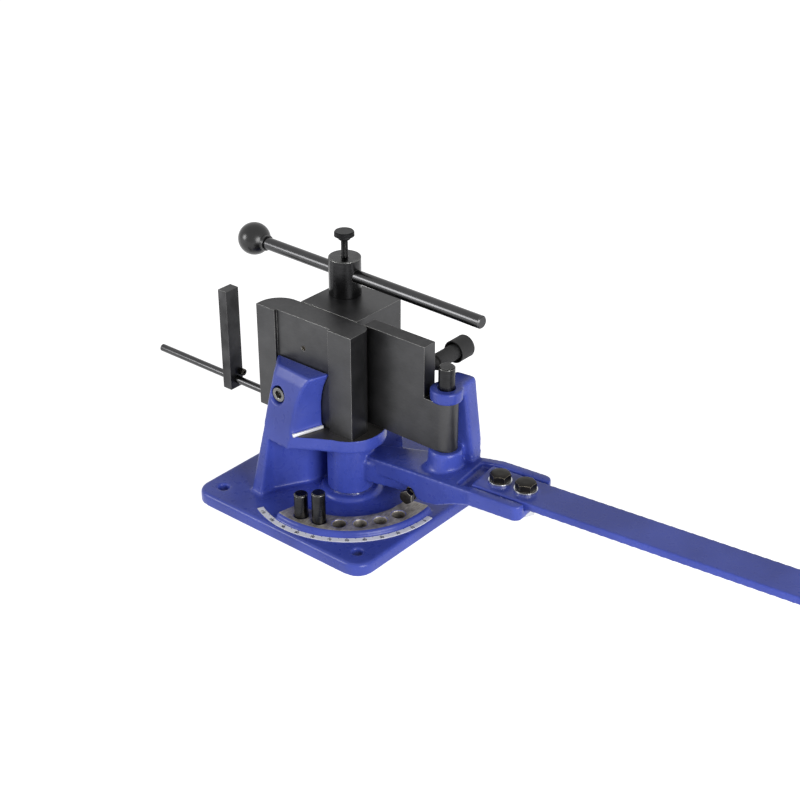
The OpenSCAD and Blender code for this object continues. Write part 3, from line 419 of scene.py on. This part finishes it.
# The ledge that the mill cut into the casting: bare iron painted near white, partly as painted highlight, a little
# dull, with the cutter's lines across it
milled_ledge = worked_metal("milled edge with painted highlight", LEDGE_STEEL_HIGHLIT, LEDGE_PALE_HIGHLIT, 0.42, lines=(1.0, 0.1, 1.0), edge_share_worn_and_lit=0.4,
                            metallic=0.25, edge_tone_worn_and_lit=ZINC_WORN_AND_HIGHLIT)
# Socket screw steel: mid grey, with a dark socket and pale edges that are wear and painted highlight at once
socket_steel = worked_metal("oiled screw steel", SCREW_DARK, SCREW_GREY, 0.34, edge_share_worn_and_lit=0.9, edge_tone_worn_and_lit=SCREW_WORN_AND_HIGHLIT)
# Cast and bored bronze, soaked in oil
bronze = worked_metal("oiled bronze", OILED_BRONZE, BRONZE_PALE, 0.34, edge_tone_worn_and_lit=BRONZE_PALE)
# Moulded phenolic resin, polished: jet black with a sharp gloss
phenolic = worked_metal("polished phenolic resin", BALL_BLACK, BALL_SHEEN, 0.27, metallic=0.0, edge_share_worn_and_lit=0.0,
                        depth=0.002)
# Glass-filled nylon from an eroded mould: black, matt, with a fine even tooth
nylon = worked_metal("moulded black nylon", PLASTIC_BLACK, PLASTIC_GREY, 0.62, metallic=0.0, grain=0.9,
                     edge_share_worn_and_lit=0.2, edge_tone_worn_and_lit=PLASTIC_WORN_AND_HIGHLIT, depth=0.05)
# Anodised aluminium strip, silver, under clear lacquer
anodised_strip = worked_metal("anodised aluminium strip", STRIP_SILVER, STRIP_PALE, 0.36, metallic=0.0, edge_share_worn_and_lit=0.2,
                              depth=0.004)
# Screen-printed ink: flat, black, slightly starved
printing_ink = worked_metal("screen-printed ink", PRINT_INK, PRINT_WORN, 0.5, metallic=0.0, edge_share_worn_and_lit=0.0,
                            depth=0.002)

FINISHES = {
    oxide_ground: ["front_jaw", "bending_wing", "clamp_block"],
    oxide_turned: ["clamp_spindle", "hinge_pin", "stop_pin_a", "stop_pin_b"],
    drawn_bar: ["lever_rod", "stop_rod"],
    rolled_flat: ["stop_bar"],
    phosphate: ["stop_bar_screw", "stop_bolt_nut", "stop_rod_nut"],
    socket_steel: ["jaw_screw"],
    zinc_plate: ["bar_washers", "bar_nuts"],
    ground_steel: ["pivot_pin", "thrust_washer"],
    bronze: ["hub_bushes"],
    phenolic: ["lever_ball"],
    anodised_strip: ["scale_strip"],
}
for finish, names in FINISHES.items():
    for name in names:
        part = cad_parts[name]
        part.data.materials.clear()
        part.data.materials.append(finish)


def piece_from(drawn, name, finish, body, stands_for=()):
    """A piece from a finished mesh: closed, smooth between sharp edges, in its finish and riding on its body."""
    bmesh.ops.recalc_face_normals(drawn, faces=drawn.faces)
    for face in drawn.faces:
        face.smooth = True
    for edge in drawn.edges:
        if len(edge.link_faces) == 2 and edge.calc_face_angle() > SHARP_EDGE:
            edge.smooth = False
    mesh = bpy.data.meshes.new(name)
    drawn.to_mesh(mesh)
    drawn.free()
    mesh.materials.append(finish)
    piece = bpy.data.objects.new(name, mesh)
    bpy.context.scene.collection.objects.link(piece)
    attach(piece, body)
    if stands_for:
        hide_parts(*stands_for)


def turn(drawn, line, rings, steps, shape=None):
    """A closed turned form: rings as (along the line, radius) in mm, from one end to the other. A shape, called with
    the angle, the distance and the radius, cuts flats, threads and knurls into it."""
    rows = []
    for along, radius in rings:
        row = []
        for k in range(steps):
            angle = 2 * math.pi * k / steps
            far, high = shape(angle, along, radius) if shape else (radius, along)
            row.append(drawn.verts.new(line @ Vector((far * math.cos(angle), far * math.sin(angle), high))))
        rows.append(row)
    for low, high in zip(rows, rows[1:]):
        for k in range(steps):
            drawn.faces.new((low[k], low[(k + 1) % steps], high[(k + 1) % steps], high[k]))
    drawn.faces.new(rows[0][::-1])
    drawn.faces.new(rows[-1])


def line_at(x, y, z, along=(0, 0, 1)):
    """The place of a turned form's start, in mm, and the way that it runs."""
    way = Vector(along).normalized().to_track_quat("Z", "Y").to_matrix().to_4x4()
    return Matrix.Translation((x * MM, y * MM, z * MM)) @ way @ Matrix.Scale(MM, 4)


def hex_flats(across, height):
    """Cuts six flats, with the 30 degree chamfer that a lathe leaves on the corners of a bolt's head."""
    land = across / 2 * HEX_LAND

    def shape(angle, along, radius):
        """A point pulled in to the flat and down to the chamfer."""
        flat = across / 2 / math.cos((angle + math.pi / 6) % (math.pi / 3) - math.pi / 6)
        far = min(radius, flat)
        return far, min(along, height - max(0.0, far - land) * math.tan(HEX_SLOPE))
    return shape


def thread_turns(pitch, depth, start, end):
    """Cuts a screw thread between two places along a form."""
    def shape(angle, along, radius):
        """A point moved in by the thread's flank."""
        if not start < along < end:
            return radius, along
        flank = abs(((along / pitch - angle / (2 * math.pi)) % 1.0) - 0.5) * 2
        return radius - depth * flank, along
    return shape


def diamond_knurl(teeth, pitch, depth, start, end):
    """Rolls a diamond knurl between two places along a form."""
    def shape(angle, along, radius):
        """A point lowered in the knurl's grooves."""
        if not start < along < end:
            return radius, along
        round_it = angle * teeth / (2 * math.pi)
        left = abs((round_it + along / pitch) % 1.0 - 0.5) * 2
        right = abs((round_it - along / pitch) % 1.0 - 0.5) * 2
        return radius - depth * (1 - min(left, right)), along
    return shape


def evenly(start, end, step):
    """Places from start to end, about a step apart."""
    count = max(1, round((end - start) / step))
    return [start + (end - start) * k / count for k in range(count + 1)]


def cast_skin(node, body, finish, grain, passes, swells=()):
    """A casting's skin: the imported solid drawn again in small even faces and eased, so that edges and inside corners
    are as round as a sand mould leaves them, with the mould's slow wave sunk into it. Swells add the fillets at the
    feet of bosses. The passes, a function of the points, say how often each is eased: three times on machined faces
    and in bores, often on a large radius."""
    drawn = bmesh.new()
    drawn.from_mesh(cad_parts[node].data)
    for line, rings in swells:
        turn(drawn, line, rings, steps=48)
    rough = bpy.data.meshes.new(node + "_rough")
    drawn.to_mesh(rough)
    drawn.free()
    piece = bpy.data.objects.new(node + "_skin", rough)
    bpy.context.scene.collection.objects.link(piece)
    even = piece.modifiers.new("even", "REMESH")
    even.mode = "VOXEL"
    even.voxel_size = grain * MM
    seen = piece.evaluated_get(bpy.context.evaluated_depsgraph_get())
    mesh = bpy.data.meshes.new_from_object(seen)
    piece.modifiers.clear()
    piece.data = mesh
    bpy.data.meshes.remove(rough)
    count = len(mesh.vertices)
    points = np.empty(count * 3)
    mesh.vertices.foreach_get("co", points)
    points = points.reshape(-1, 3)
    ends = np.empty(len(mesh.edges) * 2, dtype=int)
    mesh.edges.foreach_get("vertices", ends)
    one, two = ends[0::2], ends[1::2]
    partners = np.maximum(np.bincount(one, minlength=count) + np.bincount(two, minlength=count), 1)
    rounds = passes(points)
    for done in range(int(rounds.max())):
        free = rounds > done
        for axis in range(3):
            sums = (np.bincount(one, weights=points[two, axis], minlength=count)
                    + np.bincount(two, weights=points[one, axis], minlength=count))
            points[:, axis] += np.where(free, EASING * (sums / partners - points[:, axis]), 0.0)
    mesh.vertices.foreach_set("co", points.ravel())
    outward = np.empty(count * 3)
    mesh.vertices.foreach_get("normal", outward)
    roll = np.array([0.5 + 0.5 * noise.noise(spot) for spot in points / MOULD_WAVE])
    points -= outward.reshape(-1, 3) * (roll * np.where(rounds > BAR_PASSES, MOULD_DEPTH, 0.0))[:, None]
    mesh.vertices.foreach_set("co", points.ravel())
    mesh.polygons.foreach_set("use_smooth", [True] * len(mesh.polygons))
    mesh.update()
    mesh.materials.clear()
    mesh.materials.append(finish)
    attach(piece, body)
    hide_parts(node)


def base_passes(points):
    """Easing of the base casting, with the stop pad, the shelf, the ring boss and the pivot's bore left crisp."""
    reach = np.hypot(points[:, 0], points[:, 1])
    x, y, z = points.T
    pad = ((reach > CRISP_PAD[0]) & (reach < CRISP_PAD[1]) & (z > CRISP_PAD_HEIGHTS[0]) & (z < CRISP_PAD_HEIGHTS[1])
           & (y < CRISP_PAD_BACK) & (x > CRISP_PAD_LEFT))
    holes = ((reach > STOP_HOLES[0]) & (reach < STOP_HOLES[1]) & (x > HOLES_LEFT) & (y < HOLES_BACK)
             & (z > HOLES_FLOOR))
    shelf = (z > SHELF_TOP - CRISP_BAND) & (z < LEDGE_TOP + CRISP_BAND)
    boss = (reach < BOSS_REACH) & (z < CRISP_PAD_HEIGHTS[1])
    bore = reach < BORE_REACH
    return np.where(pad | holes | shelf | boss | bore, CRISP_PASSES, BASE_PASSES)


def arm_passes(points):
    """Easing of the swing arm: crisp at the hinge pin's bores and the hub, and a large radius on the post."""
    x, y, z = points.T
    from_hinge = np.hypot(x - HINGE.x, y - HINGE.y)
    from_pivot = np.hypot(x, y)
    hub = (from_pivot < HUB_BORE_REACH) | ((from_pivot < HUB_REACH) & (z < HUB_FOOT))
    post = (z > POST_FOOT) & (from_hinge > POST_REACH)
    crisp = (from_hinge < HINGE_BORE_REACH) | hub
    return np.where(crisp, CRISP_PASSES, np.where(post, POST_PASSES, ARM_PASSES))


cast_skin("base_casting", "frame", enamel_machined, BASE_GRAIN, base_passes)
cast_skin("swing_arm", "arm", enamel, ARM_GRAIN, arm_passes, swells=[(line_at(*(HINGE / MM)), LUG_FILLET)])
cast_skin("handle_bar", "arm", enamel, BAR_GRAIN, lambda points: np.full(len(points), BAR_PASSES))

# Bar bolts: M14, 22 mm across flats, chamfered heads, shanks through bar and arm
drawn = bmesh.new()
for along_arm in BAR_BOLTS_ALONG:
    spot = ARM @ Vector((along_arm * MM, 0, 0)) / MM
    turn(drawn, line_at(spot.x, spot.y, BAR_BOLT_SEAT), BAR_BOLT_TOP, steps=96,
         shape=hex_flats(BAR_BOLT_FLATS, BAR_BOLT_HEAD))
    shank = [(0, BAR_BOLT_RADIUS - BAR_BOLT_CHAMFER), (BAR_BOLT_CHAMFER, BAR_BOLT_RADIUS)]
    shank += [(p, BAR_BOLT_RADIUS) for p in evenly(BAR_BOLT_PLAIN, BAR_BOLT_SEAT - BAR_BOLT_END, 2.0)]
    turn(drawn, line_at(spot.x, spot.y, BAR_BOLT_END), shank, steps=36)
piece_from(drawn, "bar_bolts_chamfered", phosphate, "arm", ["bar_bolts"])

# Stop bolt: M10, 16 mm across flats, threaded all along, with a nut against the arm
drawn = bmesh.new()
arm_way = ARM @ Vector((0, -1, 0))
spot = ARM @ Vector((STOP_BOLT_ALONG * MM, STOP_BOLT_FACE * MM, 0)) / MM
turn(drawn, line_at(spot.x, spot.y, STOP_BOLT_HEIGHT, arm_way), STOP_BOLT_TOP, steps=96,
     shape=hex_flats(STOP_BOLT_FLATS, STOP_BOLT_HEAD))
piece_from(drawn, "stop_bolt_head", bolt_worn_and_highlit, "stop_bolt", ["stop_bolt"])
drawn = bmesh.new()
spot = ARM @ Vector((STOP_BOLT_ALONG * MM, STOP_BOLT_END * MM, 0)) / MM
turn(drawn, line_at(spot.x, spot.y, STOP_BOLT_HEIGHT, arm_way),
     [(p, STOP_BOLT_RADIUS) for p in evenly(0, STOP_BOLT_LENGTH, 0.25)], steps=48,
     shape=thread_turns(STOP_BOLT_PITCH, STOP_BOLT_THREAD, THREAD_RUN_OUT, STOP_BOLT_LENGTH - THREAD_RUN_OUT))
piece_from(drawn, "stop_bolt_thread", thread_worn_and_highlit, "stop_bolt")

# Lock screw on the spindle: turned head with a knurled rim over a stepped collar and a threaded shank
drawn = bmesh.new()
line = line_at(*SPINDLE_PLACE, 0)
turn(drawn, line, [(p, LOCK_SHANK_RADIUS) for p in evenly(*LOCK_SHANK, 0.25)], steps=32,
     shape=thread_turns(LOCK_PITCH, LOCK_THREAD, *LOCK_THREADED))
turn(drawn, line, LOCK_COLLAR, steps=64)
rim = [(p, LOCK_RIM_RADIUS) for p in evenly(*LOCK_RIM, 0.35)]
turn(drawn, line, LOCK_HEAD_FOOT + rim + LOCK_HEAD_TOP, steps=240,
     shape=diamond_knurl(*LOCK_KNURL, *LOCK_KNURLED))
piece_from(drawn, "rod_lock_screw_knurled", oxide_screw, "lock_screw", ["rod_lock_screw"])

# Wing screw: threaded into the wing, then a knurled sleeve that runs into the knob's recess
drawn = bmesh.new()
screw_x, screw_z = WING_SCREW_PLACE
turn(drawn, line_at(screw_x, WING_SCREW_START, screw_z, (0, 1, 0)),
     [(p, WING_SHANK_RADIUS) for p in evenly(0, WING_SHANK_LENGTH, 0.3)], steps=40,
     shape=thread_turns(WING_PITCH, WING_THREAD, *WING_THREADED))
line = line_at(screw_x, 0, screw_z, (0, 1, 0))
sleeve = SLEEVE_FOOT + [(p, SLEEVE_RADIUS) for p in evenly(*SLEEVE, 0.4)]
turn(drawn, line, sleeve, steps=160, shape=diamond_knurl(*SLEEVE_KNURL, *SLEEVE_KNURLED))
piece_from(drawn, "wing_screw_knurled", nylon, "wing_screw", ["wing_screw"])
drawn = bmesh.new()
knob = KNOB_FRONT + [(p, KNOB_RADIUS) for p in evenly(*KNOB_RIM, 0.5)] + KNOB_BACK
turn(drawn, line, knob, steps=200, shape=diamond_knurl(*KNOB_KNURL, *KNOB_KNURLED))
piece_from(drawn, "wing_knob_moulded", nylon, "wing_screw", ["wing_knob"])

# Set screw in the jaw's tapped hole, with its socket
drawn = bmesh.new()
turn(drawn, line_at(*SET_SCREW_PLACE, (0, -1, 0)), SET_SCREW, steps=36)
piece_from(drawn, "jaw_set_screw", phosphate, "frame")

# The milled ledge at the foot of the upright's right side
drawn = bmesh.new()
bmesh.ops.create_cube(drawn, size=1.0, matrix=Matrix.Rotation(math.radians(LEDGE_TURN), 4, "Z")
                      @ Matrix.Translation(LEDGE_PLACE) @ Matrix.Diagonal((*LEDGE_SIZE, 1.0)))
bmesh.ops.bevel(drawn, geom=drawn.edges[:], offset=LEDGE_BEVEL, segments=2, affect="EDGES", profile=0.5)
piece_from(drawn, "milled_ledge", milled_ledge, "frame")

# Degree marks and plain numbers, 0 to 110, printed on the strip
drawn = bmesh.new()
for degrees in range(0, LAST_NUMBER + 1, MARK_STEP):
    angle = math.radians(LAST_NUMBER_AT + degrees)
    outer = MARK_START + (SHORT_MARK if degrees % NUMBER_STEP else LONG_MARK)
    across = Vector((-math.sin(angle), math.cos(angle), 0)) * MARK_HALF_WIDTH
    way = Vector((math.cos(angle), math.sin(angle), 0))
    corners = [way * MARK_START - across, way * outer - across, way * outer + across, way * MARK_START + across]
    low = [drawn.verts.new((c.x, c.y, STRIP_TOP - INK_THICKNESS)) for c in corners]
    high = [drawn.verts.new((c.x, c.y, STRIP_TOP + INK_THICKNESS)) for c in corners]
    drawn.faces.new(low[::-1])
    drawn.faces.new(high)
    for k in range(4):
        drawn.faces.new((low[k], low[(k + 1) % 4], high[(k + 1) % 4], high[k]))
piece_from(drawn, "scale_marks", printing_ink, "frame")
drawn = bmesh.new()
for degrees in range(0, LAST_NUMBER + 1, NUMBER_STEP):
    letters = bpy.data.curves.new("number", "FONT")
    letters.body = str(LAST_NUMBER - degrees)
    letters.size = NUMBER_HEIGHT
    letters.offset = NUMBER_WEIGHT
    letters.extrude = INK_THICKNESS
    letters.align_x = "CENTER"
    letters.align_y = "CENTER"
    holder = bpy.data.objects.new("number", letters)
    bpy.context.scene.collection.objects.link(holder)
    shape = bpy.data.meshes.new_from_object(holder.evaluated_get(bpy.context.evaluated_depsgraph_get()))
    angle = math.radians(LAST_NUMBER_AT + degrees)
    middle = Vector((NUMBER_MIDDLE * math.cos(angle), NUMBER_MIDDLE * math.sin(angle), STRIP_TOP))
    shape.transform(Matrix.Translation(middle) @ Matrix.Rotation(angle + math.pi / 2, 4, "Z"))
    drawn.from_mesh(shape)
    bpy.data.objects.remove(holder)
    bpy.data.curves.remove(letters)
    bpy.data.meshes.remove(shape)
bmesh.ops.remove_doubles(drawn, verts=drawn.verts, dist=SAME_POINT)
piece_from(drawn, "scale_numbers", printing_ink, "frame")


def studio():
    """Pale floor, white surround, soft lamps and the camera."""
    mesh = bpy.data.meshes.new("studio_floor")
    corners = ((-1, -1), (1, -1), (1, 1), (-1, 1))
    mesh.from_pydata([(x * FLOOR_HALF, y * FLOOR_HALF, -FLOOR_DROP) for x, y in corners], [], [(0, 1, 2, 3)])
    floor = bpy.data.objects.new("studio_floor", mesh)
    bpy.context.scene.collection.objects.link(floor)
    paper = bpy.data.materials.new("matt white paper")
    paper.use_nodes = True
    world = bpy.data.worlds.new("white studio")
    bpy.context.scene.world = world
    world.use_nodes = True
    for tree in (paper.node_tree, world.node_tree):
        tree.nodes.clear()
        rays = add(tree, "LightPath").node.outputs
        straight = add(tree, "Math", {0: rays["Is Camera Ray"], 1: rays["Is Glossy Ray"]}, operation="ADD")
        seen = add(tree, "Math", {0: straight, 1: rays["Is Transmission Ray"]}, operation="ADD", use_clamp=True)
        if tree == paper.node_tree:
            glow = add(tree, "Math", {0: seen, 1: FLOOR_GLOW}, operation="MULTIPLY")
            matt = add(tree, "BsdfDiffuse", {"Color": FLOOR_PALE})
            lit = add(tree, "Emission", {"Color": LAMP_WHITE, "Strength": glow})
            add(tree, "OutputMaterial", {"Surface": add(tree, "AddShader", {0: matt, 1: lit})})
        else:
            strength = add(tree, "MapRange", {"Value": seen, "To Min": SKY_LIGHT, "To Max": 1.0})
            sky = add(tree, "Background", {"Color": LAMP_WHITE, "Strength": strength})
            add(tree, "OutputWorld", {"Surface": sky})
    mesh.materials.append(paper)

    for name, spot, size, power in LAMPS:
        lamp = bpy.data.lights.new(name, "AREA")
        lamp.shape = "DISK"
        lamp.size = size
        lamp.energy = power
        holder = bpy.data.objects.new(name, lamp)
        holder.location = spot
        holder.rotation_euler = (LAMP_AIM - Vector(spot)).to_track_quat("-Z", "Y").to_euler()
        bpy.context.scene.collection.objects.link(holder)

    camera = bpy.data.cameras.new("camera")
    camera.lens = CAMERA_LENS
    camera.sensor_width = CAMERA_SENSOR
    holder = bpy.data.objects.new("camera", camera)
    holder.location = CAMERA_PLACE
    holder.rotation_euler = CAMERA_AIM.to_track_quat("-Z", "Y").to_euler()
    bpy.context.scene.collection.objects.link(holder)
    bpy.context.scene.camera = holder
    bpy.context.scene.view_settings.view_transform = "Standard"


studio()
